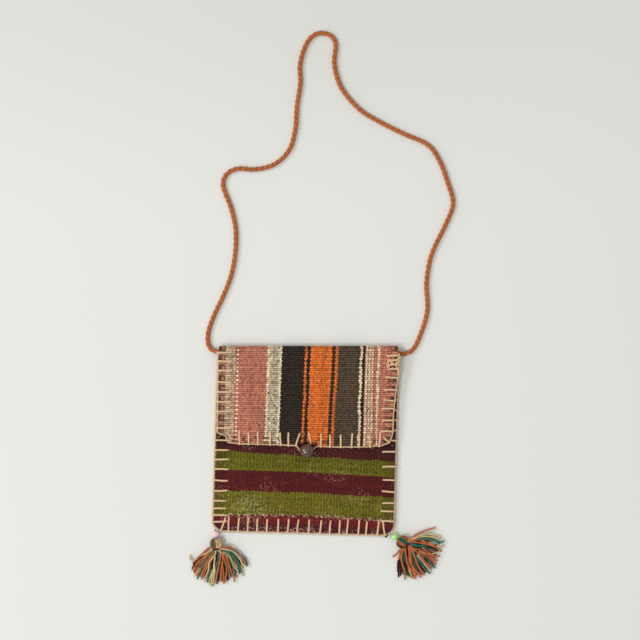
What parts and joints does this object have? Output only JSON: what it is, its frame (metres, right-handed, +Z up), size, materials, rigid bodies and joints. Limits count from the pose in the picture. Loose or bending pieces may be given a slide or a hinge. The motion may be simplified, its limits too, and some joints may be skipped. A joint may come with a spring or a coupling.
{
  "type": "kilim shoulder bag",
  "caption": "Small flat-woven wool shoulder bag with a folded-over flap, ball button and yarn loop, blanket-stitched edges, twisted cord strap and beaded corner tassels.",
  "frame": {"origin": "middle of the bag's back face, on the surface that the bag lies on", "axes": "+Z is up, out of the flap's side; +Y runs from the pocket's bottom edge to the fold; +X is to the right in the picture"},
  "size_m": [0.2781, 0.5829, 0.0275],
  "materials": {
    "kilim_back": "flat-woven wool, rough",
    "kilim_front": "flat-woven wool in maroon and olive bands, rough",
    "kilim_flap": "flat-woven wool in salmon, beige, black and orange stripes, rough",
    "cotton_lining": "plain cotton",
    "stitch_yarn": "tan wool yarn",
    "twisted_cord": "two-ply rust-orange wool cord",
    "wooden_button": "dark, polished",
    "sewing_thread": "dark maroon thread",
    "pink_glass": "opaque glossy bead",
    "green_glass": "opaque glossy bead",
    "tassel_wool_left": "wool yarn in rust, teal, khaki and dark brown",
    "tassel_wool_right": "wool yarn in rust and teal",
    "binding_wool": "wool yarn wound round the neck"
  },
  "bodies": {
    "bag": {"back_panel": "kilim_back", "front_panel": "kilim_front", "lining_back": "cotton_lining", "lining_front": "cotton_lining", "stitching_left": "stitch_yarn", "stitching_right": "stitch_yarn", "stitching_bottom": "stitch_yarn", "strap_cord": "twisted_cord", "strap_knot_left": "twisted_cord", "strap_knot_right": "twisted_cord", "button_thread": "sewing_thread"},
    "fold": {"flap_fold": "kilim_flap"},
    "flap": {"flap_panel": "kilim_flap", "lining_flap": "cotton_lining", "stitching_flap": "stitch_yarn", "closure_loop": "stitch_yarn"},
    "button": {"button_bead": "wooden_button"},
    "left_hanger": {"tassel_knot_left": "sewing_thread"},
    "left_tassel": {"tassel_thread_left": "sewing_thread", "tassel_head_left": "tassel_wool_left", "tassel_binding_left": "binding_wool", "tassel_skirt_left": "tassel_wool_left"},
    "left_bead": {"corner_bead_left": "pink_glass"},
    "right_hanger": {"tassel_knot_right": "sewing_thread"},
    "right_tassel": {"tassel_thread_right": "sewing_thread", "tassel_head_right": "tassel_wool_right", "tassel_binding_right": "binding_wool", "tassel_skirt_right": "tassel_wool_right"},
    "right_bead": {"corner_bead_right": "green_glass"}
  },
  "joints": [
    {"name": "fold_hinge", "type": "hinge", "parent": "bag", "child": "fold", "pos_m": [0, 0.09601, 0.00254], "axis": [-1, 0, 0], "range_deg": [0, 82]},
    {"name": "flap_hinge", "type": "hinge", "parent": "fold", "child": "flap", "pos_m": [0, 0.09601, 0.01046], "axis": [-1, 0, 0], "range_deg": [0, 82], "deforming": ["closure_loop"]},
    {"name": "button_spin", "type": "hinge", "parent": "bag", "child": "button", "pos_m": [0.0012, -0.0106, 0.02], "axis": [0, 0, 1], "continuous": true},
    {"name": "left_tassel_swing", "type": "hinge", "parent": "bag", "child": "left_hanger", "pos_m": [-0.09506, -0.09386, 0.0042], "axis": [0, 0, 1], "range_deg": [-90, 15]},
    {"name": "left_tassel_lift", "type": "hinge", "parent": "left_hanger", "child": "left_tassel", "pos_m": [-0.09506, -0.09386, 0.0042], "axis": [-0.9945, -0.1045, 0], "range_deg": [0, 90]},
    {"name": "left_bead_spin", "type": "hinge", "parent": "left_tassel", "child": "left_bead", "pos_m": [-0.09455, -0.09873, 0.0042], "axis": [0.1045, -0.9945, 0], "continuous": true},
    {"name": "right_tassel_swing", "type": "hinge", "parent": "bag", "child": "right_hanger", "pos_m": [0.08919, -0.09881, 0.0042], "axis": [0, 0, 1], "range_deg": [-50, 35]},
    {"name": "right_tassel_lift", "type": "hinge", "parent": "right_hanger", "child": "right_tassel", "pos_m": [0.08919, -0.09881, 0.0042], "axis": [-0.5446, -0.8387, 0], "range_deg": [0, 90]},
    {"name": "right_bead_spin", "type": "hinge", "parent": "right_tassel", "child": "right_bead", "pos_m": [0.0933, -0.10147, 0.0042], "axis": [0.8387, -0.5446, 0], "continuous": true}
  ],
  "couplings": [
    {"joint": "fold_hinge", "follows": "flap_hinge", "ratio": 1}
  ]
}
